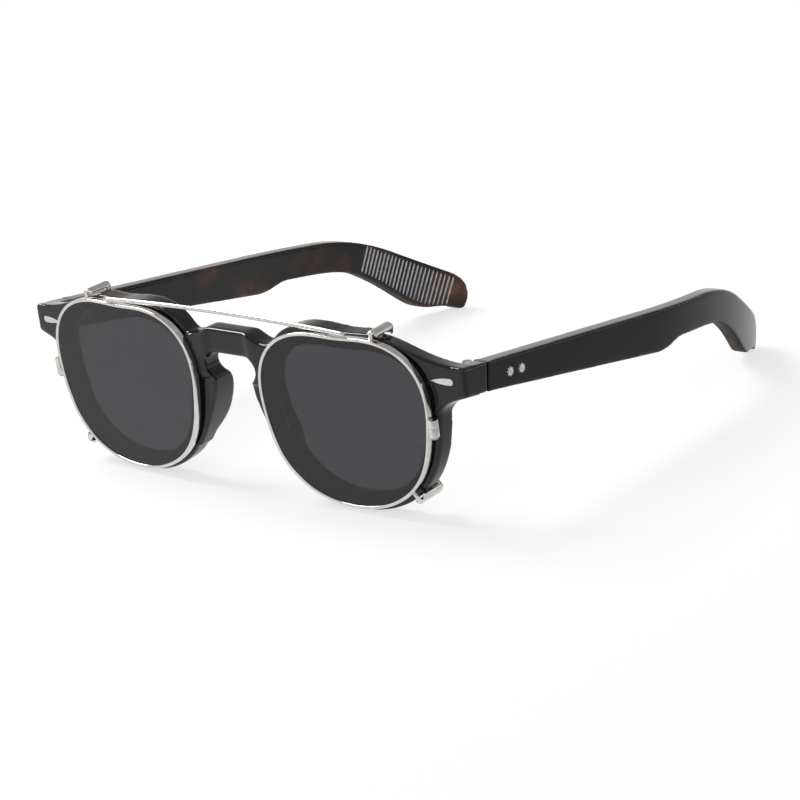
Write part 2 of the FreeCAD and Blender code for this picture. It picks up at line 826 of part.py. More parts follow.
def core_path():
    toe = math.radians(size("temple_toe_in"))
    inset = size("temple_thickness") / 2.0
    along = Vector(-math.sin(toe), math.cos(toe), 0)
    inward = Vector(-math.cos(toe), -math.sin(toe), 0)
    level = Vector(lug_out, 0, -size("core_drop")) + inward * inset
    bend_start = level + along * size("temple_straight")
    radius = size("temple_bend_radius") - inset
    centre = bend_start + inward * radius
    last = (size("core_end") - size("temple_straight")) / radius
    angles = (toe, toe + last / 2.0, toe + last)
    arc = [centre + Vector(math.cos(a), math.sin(a), 0) * radius for a in angles]
    begin = level + along * size("core_start")
    runs = [Part.LineSegment(begin, bend_start), Part.Arc(*arc)]
    return begin, along, Part.Wire([run.toShape() for run in runs])


def core_wire(radius):
    begin, along, path = core_path()
    ring = Part.Wire(Part.Circle(begin, along, radius).toShape())
    return path.makePipeShell([ring], True, False)


def star_prism(index, grow, start, stop):
    centre_along = size("rivet_at") + index * size("rivet_spacing")
    points = []
    for step in range(2 * star_points):
        radius = (size("rivet_radius") if step % 2 == 0 else size("rivet_waist")) + grow
        angle = math.pi * step / star_points
        points.append(Vector(start, centre_along + radius * math.cos(angle),
                             radius * math.sin(angle) - size("rivet_drop")))
    return Part.Face(Part.makePolygon(points + points[:1])).extrude(Vector(stop - start, 0, 0))


def rivet_face():
    return lug_out - size("rivet_at") * math.sin(math.radians(size("temple_toe_in")))


def temple_shape():
    side_block = temple_profile().extrude(Vector(2.0 * lug_out, 0, 0))
    body = plan_strip(0.0, size("temple_thickness")).common(side_block)
    body = body.cut(in_frame(leaf_block(temple_leaf_start, size("seat_clearance")), hinge_turn))
    body = body.cut(core_wire(size("core_radius") + size("seat_clearance")))
    body = body.cut(rib_grooves())
    grow = size("seat_clearance")
    for index in range(2):
        inner = rivet_face() + size("rivet_proud") - size("rivet_depth") - grow
        body = body.cut(star_prism(index, grow, inner, lug_out + size("rivet_depth")))
    return max(body.Solids, key=lambda solid: solid.Volume)


def rivets_shape():
    outer = rivet_face() + size("rivet_proud")
    inner = outer - size("rivet_depth")
    return Part.makeCompound([star_prism(index, 0.0, inner, outer) for index in range(2)])


# Hinges: leaves let into lug and temple, with knuckles round one screw

arm_share = 0.4


def hinge_profile(side, sense):
    radius = size("knuckle_radius")
    near = lug_in + size("leaf_thickness")
    leaf_near = sense * leaf_start + (size("joint_gap") if sense > 0 else 0.0)
    leaf_far = leaf_near + sense * size("leaf_length")
    arm_end = leaf_near + sense * arm_share * size("leaf_length")
    cap = Vector(hinge_across, hinge_along - sense * radius, 0)
    right = Vector(hinge_across + radius, hinge_along, 0)
    left = Vector(hinge_across - radius, hinge_along, 0)
    corners = [right, Vector(hinge_across + radius, leaf_near, 0), Vector(near, leaf_near, 0),
               Vector(near, leaf_far, 0), Vector(lug_in, leaf_far, 0), Vector(lug_in, arm_end, 0), left]
    flipped = [Vector(side * point.x, point.y, 0) for point in corners]
    curves = [Part.LineSegment(a, b) for a, b in zip(flipped, flipped[1:])]
    curves.append(Part.Arc(flipped[-1], Vector(side * cap.x, cap.y, 0), flipped[0]))
    return curves


stack_rule = "%d * (Sizes.knuckle_height + Sizes.knuckle_play)" % knuckle_bands


def hinge_half(name, side, sense, cut_bands):
    body = new_body(name)
    pad(body, "XY_Plane", hinge_profile(side, sense), stack_rule + " - Sizes.knuckle_play")
    clear = size("knuckle_radius") + 2.0 * size("knuckle_play")
    outside = hinge_along - sense * 2.0 * clear
    inside = hinge_along + sense * clear
    rows = []
    for index in cut_bands:
        low = index * band - stack_height / 2.0 - size("knuckle_play")
        high = low + size("knuckle_height") + 2.0 * size("knuckle_play")
        rows += loop_lines([Vector(outside, low, 0), Vector(inside, low, 0),
                            Vector(inside, high, 0), Vector(outside, high, 0)])
    pocket(body, "YZ_Plane", rows, "%.3f" % (4.0 * end_half_width))
    bore = Part.Circle(Vector(side * hinge_across, hinge_along, 0), Vector(0, 0, 1),
                       size("hinge_pin_radius") + size("running_clearance"))
    pocket(body, "XY_Plane", [bore], "4 * Sizes.joint_height")
    keep(body, name, hinge_frame)


def hinge_screw(name, side):
    shaft = doc.addObject("Part::Cylinder", name + "_shaft")
    shaft.setExpression("Radius", "Sizes.hinge_pin_radius")
    shaft.setExpression("Height", stack_rule)
    head = doc.addObject("Part::Cylinder", name + "_head")
    head.setExpression("Radius", "Sizes.screw_head_radius")
    head.setExpression("Height", "Sizes.screw_head_height")
    head.setExpression("Placement.Base.z", stack_rule)
    solid = doc.addObject("Part::Fuse", name + "_solid")
    solid.Base = shaft
    solid.Tool = head
    slot = doc.addObject("Part::Box", name + "_slot")
    slot.setExpression("Length", "4 * Sizes.screw_head_radius")
    slot.setExpression("Width", "Sizes.screw_slot")
    slot.setExpression("Height", "Sizes.screw_head_height")
    slot.setExpression("Placement.Base.x", "-2 * Sizes.screw_head_radius")
    slot.setExpression("Placement.Base.y", "-Sizes.screw_slot / 2")
    slot.setExpression("Placement.Base.z", stack_rule + " + Sizes.screw_head_height / 2")
    screw = doc.addObject("Part::Cut", name)
    screw.Base = solid
    screw.Tool = slot
    foot = Vector(side * hinge_across, hinge_along, -stack_height / 2.0)
    keep(screw, name, hinge_frame.multiply(Placement(foot, Rotation())))


temple_solid = temple_shape()
core_solid = core_wire(size("core_radius"))
lock_solid = rim_lock_shape()
lock_screw_solid = rim_lock_screw_shape()
rivet_solid = rivets_shape()

for name, side in sides.items():
    shape_piece("nose_pad_" + name, mirrored(pad_shape, side), upright)
    optical_lens(name, side)
    front_plaque(name, side)
    hinge_half("front_hinge_" + name, side, -1, (1, 3))
    hinge_half("temple_hinge_" + name, side, 1, (0, 2, 4))
    hinge_screw("hinge_screw_" + name, side)
    shape_piece("temple_" + name, mirrored(temple_solid, side), temple_frame)
    shape_piece("temple_core_" + name, mirrored(core_solid, side), temple_frame)
    shape_piece("temple_rivets_" + name, mirrored(rivet_solid, side), temple_frame)
    clip_rim(name, side)
    sun_lens(name, side)
    shape_piece("rim_lock_" + name, mirrored(lock_solid, side), seat_frame(side, clip_depth))
    shape_piece("rim_lock_screw_" + name, mirrored(lock_screw_solid, side), seat_frame(side, clip_depth))
    claw("top_claw_" + name, side, math.radians(size("top_claw_angle")))
    claw("bottom_claw_" + name, side, math.radians(size("bottom_claw_angle")))
brow_bar()
doc.recompute()


# Standing: the rims and the temple tips rest on the floor together

def lowest(shape, frame, tilt):
    turned = shape.copy()
    turned.Placement = Placement(Vector(0, 0, 0), Rotation(Vector(1, 0, 0), tilt)).multiply(frame)
    return turned.optimalBoundingBox(False).ZMin


def standing_tilt():
    low, high = -10.0, 20.0
    for _ in range(24):
        middle = (low + high) / 2.0
        if lowest(temple_solid, temple_frame, middle) < lowest(frame_shape, upright, middle):
            low = middle
        else:
            high = middle
    return (low + high) / 2.0


tilt = standing_tilt()
turn = Rotation(Vector(1, 0, 0), tilt)
tilted = Placement(Vector(0, 0, 0), turn)


def place_all(stand):
    for piece, frame in pieces:
        piece.Placement = stand.multiply(frame)
    doc.recompute()


place_all(tilted)
boxes = [piece.Shape.optimalBoundingBox(False) for piece, frame in pieces]
front_end = min(box.YMin for box in boxes)
back_end = max(box.YMax for box in boxes)
floor = min(box.ZMin for box in boxes)
stand = Placement(Vector(0, -(front_end + back_end) / 2.0, -floor), turn)
place_all(stand)

for item in doc.Objects:
    if "Invalid" in item.State or "Error" in item.State:
        raise RuntimeError("%s failed: %s" % (item.Label, item.State))
os.makedirs("parts", exist_ok=True)
for piece, frame in pieces:
    shape = piece.Shape
    if shape.isNull() or not shape.isValid() or not shape.Solids:
        raise RuntimeError("%s has no valid solid" % piece.Label)
for piece, frame in pieces:
    piece.Shape.exportStep("parts/%s.step" % piece.Label)

hinge_point = stand.multiply(hinge_frame).multVec(Vector(hinge_across, hinge_along, 0))
hinge_axis = stand.multiply(hinge_frame).Rotation.multVec(Vector(0, 0, 1))
print("standing tilt %.3f" % tilt, "hinge", tuple(hinge_point), tuple(hinge_axis))
print("stand base", tuple(stand.Base), "forward", tuple(turn.multVec(Vector(0, -1, 0))))
print(len(pieces), "pieces")
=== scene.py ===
import bpy
import bmesh
import json
import math
from mathutils import Matrix, Vector


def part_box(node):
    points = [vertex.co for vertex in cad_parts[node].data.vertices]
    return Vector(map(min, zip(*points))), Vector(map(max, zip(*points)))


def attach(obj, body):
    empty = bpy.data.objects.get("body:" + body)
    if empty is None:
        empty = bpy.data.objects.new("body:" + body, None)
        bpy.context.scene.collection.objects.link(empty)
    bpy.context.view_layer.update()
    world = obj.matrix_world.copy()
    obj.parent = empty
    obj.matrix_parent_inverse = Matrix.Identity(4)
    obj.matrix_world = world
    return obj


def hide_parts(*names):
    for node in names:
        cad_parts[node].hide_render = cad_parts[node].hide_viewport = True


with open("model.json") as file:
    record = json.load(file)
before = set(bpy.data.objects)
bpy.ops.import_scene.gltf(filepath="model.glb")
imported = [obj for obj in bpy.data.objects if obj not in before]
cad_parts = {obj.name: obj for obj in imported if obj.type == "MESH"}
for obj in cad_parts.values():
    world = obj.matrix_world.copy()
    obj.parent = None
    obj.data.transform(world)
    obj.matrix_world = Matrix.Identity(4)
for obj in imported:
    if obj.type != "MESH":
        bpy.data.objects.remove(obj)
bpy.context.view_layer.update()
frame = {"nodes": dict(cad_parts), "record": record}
nodes = frame["nodes"]
mm = 0.001
print("frame loaded with", len(nodes), "nodes")

# camera: placed where the photograph was taken from, in the standing frame
shot = {
    "place": (0.536984, -0.628623, 0.265037),
    "right": (0.769620, 0.631955, -0.091184),
    "up": (-0.126020, 0.290340, 0.948586),
    "ahead": (-0.625940, 0.718559, -0.303091),
    "lens": 148.615,
    "sensor": 36.0,
    "clip": (0.01, 50.0),
}
cameraData = bpy.data.cameras.new("shotCamera")
cameraData.sensor_width = shot["sensor"]
cameraData.lens = shot["lens"]
cameraData.clip_start, cameraData.clip_end = shot["clip"]
camera = bpy.data.objects.new("shotCamera", cameraData)
right, up, ahead = (Vector(shot[key]).normalized() for key in ("right", "up", "ahead"))
turn = Matrix((right, up, -ahead)).transposed().to_4x4()
camera.matrix_world = Matrix.Translation(shot["place"]) @ turn
bpy.context.scene.collection.objects.link(camera)
bpy.context.scene.camera = camera
bpy.context.scene.view_settings.view_transform = "Standard"
print("camera set")


# small helpers for node materials
def newMaterial(name):
    material = bpy.data.materials.new(name)
    material.use_nodes = True
    tree = material.node_tree
    shader = tree.nodes["Principled BSDF"]
    return material, tree, shader


def addNode(tree, kind, **values):
    node = tree.nodes.new(kind)
    for key, value in values.items():
        if key in node.inputs:
            node.inputs[key].default_value = value
        else:
            setattr(node, key, value)
    return node


def objectPoint(tree):
    return addNode(tree, "ShaderNodeTexCoord").outputs["Object"]


def noiseAt(tree, point, scale, detail=3.0, roughness=0.5):
    noise = addNode(tree, "ShaderNodeTexNoise", Scale=scale, Detail=detail, Roughness=roughness)
    tree.links.new(point, noise.inputs["Vector"])
    return noise.outputs["Fac"]


def spread(tree, value, low, high):
    stretch = addNode(tree, "ShaderNodeMapRange")
    stretch.inputs["To Min"].default_value = low
    stretch.inputs["To Max"].default_value = high
    tree.links.new(value, stretch.inputs["Value"])
    return stretch.outputs["Result"]


def ramp(tree, value, stops):
    node = addNode(tree, "ShaderNodeValToRGB")
    band = node.color_ramp
    while len(band.elements) < len(stops):
        band.elements.new(0.5)
    for element, (place, colour) in zip(band.elements, stops):
        element.position = place
        element.color = (*colour, 1.0)
    tree.links.new(value, node.inputs["Fac"])
    return node.outputs["Color"]


def mapBetween(tree, value, ends, results):
    node = addNode(tree, "ShaderNodeMapRange", interpolation_type="SMOOTHSTEP")
    node.inputs["From Min"].default_value = ends[0]
    node.inputs["From Max"].default_value = ends[1]
    node.inputs["To Min"].default_value = results[0]
    node.inputs["To Max"].default_value = results[1]
    tree.links.new(value, node.inputs["Value"])
    return node.outputs["Result"]


def bumpFrom(tree, shader, point, look):
    bump = addNode(tree, "ShaderNodeBump", Strength=look["strength"], Distance=look["depth"])
    tree.links.new(noiseAt(tree, point, *look["noise"]), bump.inputs["Height"])
    tree.links.new(bump.outputs["Normal"], shader.inputs["Normal"])


def colourFrom(tree, shader, point, noise, stops):
    tree.links.new(ramp(tree, noiseAt(tree, point, *noise), stops), shader.inputs["Base Color"])


def roughFrom(tree, point, noise, ends):
    return spread(tree, noiseAt(tree, point, *noise), *ends)


# polished black acetate
blackAcetate = {
    "noise": (90.0, 4.0), "stops": [(0.35, (0.0052, 0.0043, 0.0056)), (0.7, (0.0078, 0.0062, 0.0076))],
    "roughNoise": (260.0, 5.0), "rough": (0.04, 0.09), "ior": 1.5,
    "bump": {"noise": (420.0, 2.0), "strength": 0.04, "depth": 0.00002},
}


def makeBlackAcetate():
    material, tree, shader = newMaterial("blackAcetate")
    point = objectPoint(tree)
    colourFrom(tree, shader, point, blackAcetate["noise"], blackAcetate["stops"])
    rough = roughFrom(tree, point, blackAcetate["roughNoise"], blackAcetate["rough"])
    tree.links.new(rough, shader.inputs["Roughness"])
    shader.inputs["IOR"].default_value = blackAcetate["ior"]
    bumpFrom(tree, shader, point, blackAcetate["bump"])
    return material


# silver plated wire and claws
silver = {
    "noise": (500.0, 4.0), "stops": [(0.3, (0.70, 0.675, 0.645)), (0.62, (0.80, 0.772, 0.742))],
    "roughNoise": (900.0, 3.0), "rough": (0.10, 0.20),
    "bump": {"noise": (2200.0, 2.0), "strength": 0.05, "depth": 0.00001},
}


def makeSilver():
    material, tree, shader = newMaterial("silverPlate")
    point = objectPoint(tree)
    colourFrom(tree, shader, point, silver["noise"], silver["stops"])
    rough = roughFrom(tree, point, silver["roughNoise"], silver["rough"])
    tree.links.new(rough, shader.inputs["Roughness"])
    shader.inputs["Metallic"].default_value = 1.0
    bumpFrom(tree, shader, point, silver["bump"])
    return material


# satin steel of the hinges
hingeSteel = {
    "noise": (800.0,), "stops": [(0.35, (0.42, 0.41, 0.40)), (0.65, (0.56, 0.55, 0.53))],
    "roughNoise": (1500.0,), "rough": (0.25, 0.42),
}


def makeHingeSteel():
    material, tree, shader = newMaterial("hingeSteel")
    point = objectPoint(tree)
    colourFrom(tree, shader, point, hingeSteel["noise"], hingeSteel["stops"])
    rough = roughFrom(tree, point, hingeSteel["roughNoise"], hingeSteel["rough"])
    tree.links.new(rough, shader.inputs["Roughness"])
    shader.inputs["Metallic"].default_value = 1.0
    return material


# grey sun lenses and clear inner lenses
sunGlass = {"tint": (0.046, 0.043, 0.050), "ior": 1.5, "roughNoise": (60.0,), "rough": (0.0, 0.02)}
clearGlass = {"tint": (0.93, 0.95, 0.95), "ior": 1.5, "roughNoise": (60.0,), "rough": (0.0, 0.01)}


def makeGlass(name, look):
    material, tree, shader = newMaterial(name)
    point = objectPoint(tree)
    shader.inputs["Base Color"].default_value = (*look["tint"], 1.0)
    shader.inputs["Transmission Weight"].default_value = 1.0
    shader.inputs["IOR"].default_value = look["ior"]
    tree.links.new(roughFrom(tree, point, look["roughNoise"], look["rough"]), shader.inputs["Roughness"])
    return material


# temples: black laid over dark tortoise, which shows on the inner side and along the edges; faces turned down
# get a painted amber glow, standing in for light shining through the acetate
tortoise = {
    "black": (0.004, 0.0036, 0.0037),
    "noise": (55.0, 4.0, 0.6),
    "stops": [(0.47, (0.006, 0.0042, 0.0036)), (0.60, (0.042, 0.014, 0.007)), (0.74, (0.170, 0.075, 0.016))],
    "layer": (0.30, 0.55),
    "roughNoise": (260.0, 5.0),
    "rough": (0.05, 0.10),
    # faces turned down: a painted amber glow of light shining through, and a rougher finish
    "under": (-0.25, -0.6),
    "underRough": 0.6,
    "tip": (0.069, 0.077),
    "tipAmber": 0.08,
    "underPaintedGlow": 0.07,
    "ior": 1.40,
    "bump": {"noise": (420.0, 2.0), "strength": 0.03, "depth": 0.00002},
}


def makeTortoise():
    material, tree, shader = newMaterial("tortoiseAcetate")
    point = objectPoint(tree)
    axes = addNode(tree, "ShaderNodeSeparateXYZ")
    tree.links.new(point, axes.inputs[0])
    facing = addNode(tree, "ShaderNodeSeparateXYZ")
    tree.links.new(addNode(tree, "ShaderNodeNewGeometry").outputs["Normal"], facing.inputs[0])
    cloud = noiseAt(tree, point, *tortoise["noise"])
    # the tortoise runs more amber towards the tip, which is its own colour; faces turned down get the painted
    # amber glow
    for value, ends, rise in ((axes.outputs["Y"], tortoise["tip"], tortoise["tipAmber"]),
                              (facing.outputs["Z"], tortoise["under"], tortoise["underPaintedGlow"])):
        more = addNode(tree, "ShaderNodeMath", operation="ADD")
        tree.links.new(cloud, more.inputs[0])
        tree.links.new(mapBetween(tree, value, ends, (0.0, rise)), more.inputs[1])
        cloud = more.outputs[0]
    shell = ramp(tree, cloud, tortoise["stops"])
    layer = addNode(tree, "ShaderNodeAttribute", attribute_name="layer")
    mix = addNode(tree, "ShaderNodeMix", data_type="RGBA")
    inside = mapBetween(tree, layer.outputs["Fac"], tortoise["layer"], (0.0, 1.0))
    tree.links.new(inside, mix.inputs["Factor"])
    mix.inputs["A"].default_value = (*tortoise["black"], 1.0)
    tree.links.new(shell, mix.inputs["B"])
    tree.links.new(mix.outputs["Result"], shader.inputs["Base Color"])
    rough = addNode(tree, "ShaderNodeMath", operation="MAXIMUM")
    tree.links.new(roughFrom(tree, point, tortoise["roughNoise"], tortoise["rough"]), rough.inputs[0])
    dull = mapBetween(tree, facing.outputs["Z"], tortoise["under"], (0.0, tortoise["underRough"]))
    tree.links.new(dull, rough.inputs[1])
    tree.links.new(rough.outputs[0], shader.inputs["Roughness"])
    shader.inputs["IOR"].default_value = tortoise["ior"]
    bumpFrom(tree, shader, point, tortoise["bump"])
    return material


# ribs of the temple tips, painted light grey: a painted highlight standing in for light reflected off their
# ridge tops
ribSheenLook = {
    "noise": (700.0,), "stops": [(0.35, (0.36, 0.36, 0.39)), (0.6, (0.52, 0.52, 0.56))],
    "roughNoise": (900.0,), "rough": (0.22, 0.40),
}


def makePaintedRibSheen():
    material, tree, shader = newMaterial("ribRidgePaintedSheen")
    point = objectPoint(tree)
    colourFrom(tree, shader, point, ribSheenLook["noise"], ribSheenLook["stops"])
    rough = roughFrom(tree, point, ribSheenLook["roughNoise"], ribSheenLook["rough"])
    tree.links.new(rough, shader.inputs["Roughness"])
    return material


finishes = {
    "acetate": makeBlackAcetate(),
    "temple_acetate": makeTortoise(),
    "silver": makeSilver(),
    "hinge_steel": makeHingeSteel(),
    "sun_lens": makeGlass("greySunLens", sunGlass),
    "clear_lens": makeGlass("clearLens", clearGlass),
}
paintedRibSheen = makePaintedRibSheen()
for part in frame["record"]["subparts"]:
    mesh = nodes[part["node"]].data
    mesh.materials.clear()
    mesh.materials.append(finishes[part["material_slot"]])
print("materials made")

# frames of the standing glasses and of their temples, in millimetres
pose = {
    "base": (0.0, -73.0699, 24.0041), "tilt": math.radians(3.245),
    "joint": (0.0, 12.995, 13.9), "templeTilt": math.radians(-9.2),
}
stand = Matrix.Translation(pose["base"]) @ Matrix.Rotation(pose["tilt"], 4, "X")
templeStand = stand @ Matrix.Translation(pose["joint"]) @ Matrix.Rotation(pose["templeTilt"], 4, "X")
unstand = stand.inverted()
templeUnstand = templeStand.inverted()
front = {"bow": 650.0, "lensMiddle": 35.9}
lens = {"halfWidth": 24.0, "halfHeight": 21.1, "square": 2.6, "drop": 1.1, "lobes": 3.0, "nudge": 0.004}


def lensPoint(angle):
    across = abs(math.cos(angle) / lens["halfWidth"]) ** lens["square"]
    along = abs(math.sin(angle) / lens["halfHeight"]) ** lens["square"]
    radius = (across + along) ** (-1.0 / lens["square"]) + lens["drop"] * math.sin(lens["lobes"] * angle)
    return Vector((radius * math.cos(angle), radius * math.sin(angle)))


def lensNormal(angle):
    tangent = lensPoint(angle + lens["nudge"]) - lensPoint(angle - lens["nudge"])
    return Vector((tangent.y, -tangent.x)).normalized()


def bowAt(across):
    return front["bow"] - math.sqrt(front["bow"] ** 2 - across ** 2)


def seatOf(side, depth):
    middle = front["lensMiddle"]
    place = Matrix.Translation((side * middle, bowAt(middle) + depth, 0.0))
    return stand @ place @ Matrix.Rotation(side * math.asin(middle / front["bow"]), 4, "Z")


def easeIn(value, low, high):
    share = min(max((value - low) / (high - low), 0.0), 1.0)
    return share * share * (3.0 - 2.0 * share)


def shownMesh(thing):
    graph = bpy.context.evaluated_depsgraph_get()
    return bpy.data.meshes.new_from_object(thing.evaluated_get(graph))


# edges of a copy of cut solids are rounded by a fine skin that is then polished
weldGap = 0.002
polishFactor = 0.5


def polishedCopy(name, members, grain, passes, morePasses, weightAt):
    work = bmesh.new()
    for member, shift in members:
        copy = nodes[member].data.copy()
        copy.transform(Matrix.Translation(Vector(shift) * mm))
        work.from_mesh(copy)
        bpy.data.meshes.remove(copy)
    bmesh.ops.scale(work, vec=(1.0 / mm, 1.0 / mm, 1.0 / mm), verts=work.verts)
    bmesh.ops.remove_doubles(work, verts=work.verts, dist=weldGap)
    mesh = bpy.data.meshes.new(name)
    work.to_mesh(mesh)
    work.free()
    piece = bpy.data.objects.new(name, mesh)
    bpy.context.scene.collection.objects.link(piece)
    skin = piece.modifiers.new("skin", "REMESH")
    skin.mode = "VOXEL"
    skin.voxel_size = grain
    skin.use_smooth_shade = True
    polish = piece.modifiers.new("polish", "SMOOTH")
    polish.factor = polishFactor
    polish.iterations = passes
    piece.data = shownMesh(piece)
    piece.modifiers.clear()
    keepLargest(piece.data)
    group = piece.vertex_groups.new(name="worn")
    for vertex in piece.data.vertices:
        group.add([vertex.index], weightAt(vertex.co), "REPLACE")
    worn = piece.modifiers.new("worn", "SMOOTH")
    worn.factor = polishFactor
    worn.iterations = morePasses
    worn.vertex_group = group.name
    piece.data = shownMesh(piece)
    piece.modifiers.clear()
    piece.vertex_groups.clear()
    piece.data.name = name
    return piece


def keepLargest(mesh):
    work = bmesh.new()
    work.from_mesh(mesh)
    left = set(work.verts)
    largest = []
    while left:
        first = left.pop()
        island = [first]
        for vertex in island:
            for edge in vertex.link_edges:
                other = edge.other_vert(vertex)
                if other in left:
                    left.remove(other)
                    island.append(other)
        if len(island) > len(largest):
            largest = island
    kept = set(largest)
    bmesh.ops.delete(work, geom=[vertex for vertex in work.verts if vertex not in kept], context="VERTS")
    work.to_mesh(mesh)
    work.free()


# solids swept through rings of points, capped at both ends unless they close on themselves
def sweep(name, runs, place, closed=False):
    work = bmesh.new()
    for rings in runs:
        loops = [[work.verts.new(point) for point in ring] for ring in rings]
        pairs = list(zip(loops, loops[1:]))
        if closed:
            pairs.append((loops[-1], loops[0]))
        else:
            work.faces.new(loops[0][::-1])
            work.faces.new(loops[-1])
        for lower, upper in pairs:
            for step in range(len(lower)):
                after = (step + 1) % len(lower)
                work.faces.new((lower[step], lower[after], upper[after], upper[step]))
    bmesh.ops.recalc_face_normals(work, faces=work.faces)
    mesh = bpy.data.meshes.new(name)
    work.to_mesh(mesh)
    work.free()
    mesh.transform(place)
    for face in mesh.polygons:
        face.use_smooth = True
    piece = bpy.data.objects.new(name, mesh)
    bpy.context.scene.collection.objects.link(piece)
    return piece


def settle(piece, finish, body, slot, *replaced):
    piece.data.transform(Matrix.Scale(mm, 4))
    piece.data.materials.clear()
    piece.data.materials.append(finish)
    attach(piece, body)
    if replaced:
        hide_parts(*replaced)
    return piece


# acetate front with its built-up nose pads
frontPolish = {
    "grain": 0.22, "passes": 40, "morePasses": 150, "padPress": -0.3, "plaqueSink": 0.3,
    "back": (1.8, 3.4), "band": (-1.2, 0.4), "brow": (2.0, 8.0), "end": (58.0, 62.0), "nose": (15.0, 19.0),
    "padShare": 0.25, "bridge": (14.0, 19.0), "bridgeShare": 0.7, "lug": (54.0, 58.0), "lugDepth": (3.0, 5.0),
    "lugShare": 0.4,
}


def frontWeight(point):
    place = unstand @ point
    across = abs(place.x)
    offset = Vector((across - front["lensMiddle"], place.z))
    outside = offset.length - lensPoint(math.atan2(offset.y, offset.x)).length
    depth = place.y - bowAt(across)
    share = easeIn(depth, *frontPolish["back"]) * easeIn(outside, *frontPolish["band"])
    share *= (1.0 - easeIn(place.z, *frontPolish["brow"])) * (1.0 - easeIn(across, *frontPolish["end"]))
    share *= frontPolish["padShare"] + (1.0 - frontPolish["padShare"]) * easeIn(across, *frontPolish["nose"])
    bridge = easeIn(place.z, *frontPolish["brow"]) * (1.0 - easeIn(across, *frontPolish["bridge"]))
    lug = easeIn(across, *frontPolish["lug"]) * (1.0 - easeIn(depth, *frontPolish["lugDepth"]))
    return max(share, frontPolish["bridgeShare"] * bridge, frontPolish["lugShare"] * lug)


frontMembers = [("frame_front", (0.0, 0.0, 0.0))]
for side in ("right", "left"):
    frontMembers.append(("nose_pad_" + side, (0.0, frontPolish["padPress"], 0.0)))
    frontMembers.append(("front_plaque_" + side, (0.0, frontPolish["plaqueSink"], 0.0)))
acetateFront = polishedCopy("acetate_front", frontMembers, frontPolish["grain"], frontPolish["passes"],
                            frontPolish["morePasses"], frontWeight)
settle(acetateFront, finishes["acetate"], "frame", "acetate",
       "frame_front", "nose_pad_right", "nose_pad_left")
print("front made with", len(acetateFront.data.polygons), "faces")

# temples
temple = {
    "outside": 70.5, "thickness": 4.5, "straight": 67.0, "bend": 168.0, "toeIn": math.radians(0.7),
    "grain": 0.22, "passes": 9, "morePasses": 40, "joint": (0.6, 3.0), "rivetSink": -0.35,
}
ribs = {
    "count": 24, "pitch": 1.25, "start": 4.6, "kneeAt": 106.6,
    "drop": math.radians(25.0), "lean": math.radians(17.0), "radius": 0.27, "sink": 0.13, "around": 8,
    "top": 0.9, "low": 0.9, "neck": 9.6, "heel": 12.1, "tip": 9.0,
    "neckEnd": 5.3, "heelAt": 26.5, "tipAt": 38.0,
    "taper": ((0.0, 0.15), (0.04, 0.7), (0.12, 1.0), (0.88, 1.0), (0.96, 0.7), (1.0, 0.15)),
}


def templeSkin(run, cut):
    toe = temple["toeIn"]
    straight = temple["straight"]
    bendStart = Vector((temple["outside"] - straight * math.sin(toe), straight * math.cos(toe)))
    if run <= bendStart.y:
        return temple["outside"] - run * math.tan(toe) - cut / math.cos(toe)
    centre = bendStart + Vector((-math.cos(toe), -math.sin(toe))) * temple["bend"]
    radius = temple["bend"] - cut
    rise = min(run - centre.y, radius)
    return centre.x + math.sqrt(radius * radius - rise * rise)


def templeWeight(point):
    return easeIn((templeUnstand @ point).y, *temple["joint"])


def ribDepth(run):
    if run < ribs["heelAt"]:
        return ribs["neck"] + (ribs["heel"] - ribs["neck"]) * easeIn(run, ribs["neckEnd"], ribs["heelAt"])
    return ribs["heel"] + (ribs["tip"] - ribs["heel"]) * easeIn(run, ribs["heelAt"], ribs["tipAt"])


def makeRibs(name, side):
    along = Vector((math.cos(ribs["drop"]), -math.sin(ribs["drop"])))
    down = Vector((-math.sin(ribs["drop"]), -math.cos(ribs["drop"])))
    line = Vector((-math.sin(ribs["lean"]), -math.cos(ribs["lean"])))
    knee = Vector((ribs["kneeAt"], 0.0))
    slant = line.dot(down)
    runs = []
    for index in range(ribs["count"]):
        run = ribs["start"] + ribs["pitch"] * index
        low = ribDepth(run) - ribs["low"]
        middle = 0.5 * (ribs["top"] + low)
        base = knee + along * run + (down - line / slant) * middle
        rings = []
        for share, width in ribs["taper"]:
            spot = base + line * ((ribs["top"] + share * (low - ribs["top"])) / slant)
            across = templeSkin(spot.x, temple["thickness"]) + ribs["sink"]
            ring = []
            for step in range(ribs["around"]):
                angle = 2.0 * math.pi * step / ribs["around"]
                reach = ribs["radius"] * width
                swing = reach * math.sin(angle)
                ring.append((side * (across + reach * math.cos(angle)), spot.x - line.y * swing,
                             spot.y + line.x * swing))
            rings.append(ring)
        runs.append(rings)
    return sweep(name, runs, templeStand)


def paintLayers(piece):
    layer = piece.data.attributes.new("layer", "FLOAT", "POINT")
    for vertex in piece.data.vertices:
        place = templeUnstand @ vertex.co
        layer.data[vertex.index].value = (templeSkin(place.y, 0.0) - abs(place.x)) / temple["thickness"]


# rivet heads: domed stars on the outer sides
rivets = {
    "count": 2, "at": 8.5, "spacing": 4.5, "drop": 3.8,
    "radius": 1.02, "petal": 0.27, "petals": 8, "around": 64,
    "dome": ((-0.3, 1.0), (0.08, 1.0), (0.3, 0.88), (0.48, 0.66), (0.58, 0.4), (0.62, 0.12)),
}


def makeRivets(name, side):
    runs = []
    for index in range(rivets["count"]):
        along = rivets["at"] + index * rivets["spacing"]
        rings = []
        for lift, share in rivets["dome"]:
            across = templeSkin(along, 0.0) + lift
            ring = []
            for step in range(rivets["around"]):
                angle = 2.0 * math.pi * step / rivets["around"]
                reach = share * (rivets["radius"] + rivets["petal"] * math.cos(rivets["petals"] * angle))
                ring.append((side * across, along + reach * math.cos(angle),
                             reach * math.sin(angle) - rivets["drop"]))
            rings.append(ring)
        runs.append(rings)
    return sweep(name, runs, templeStand)


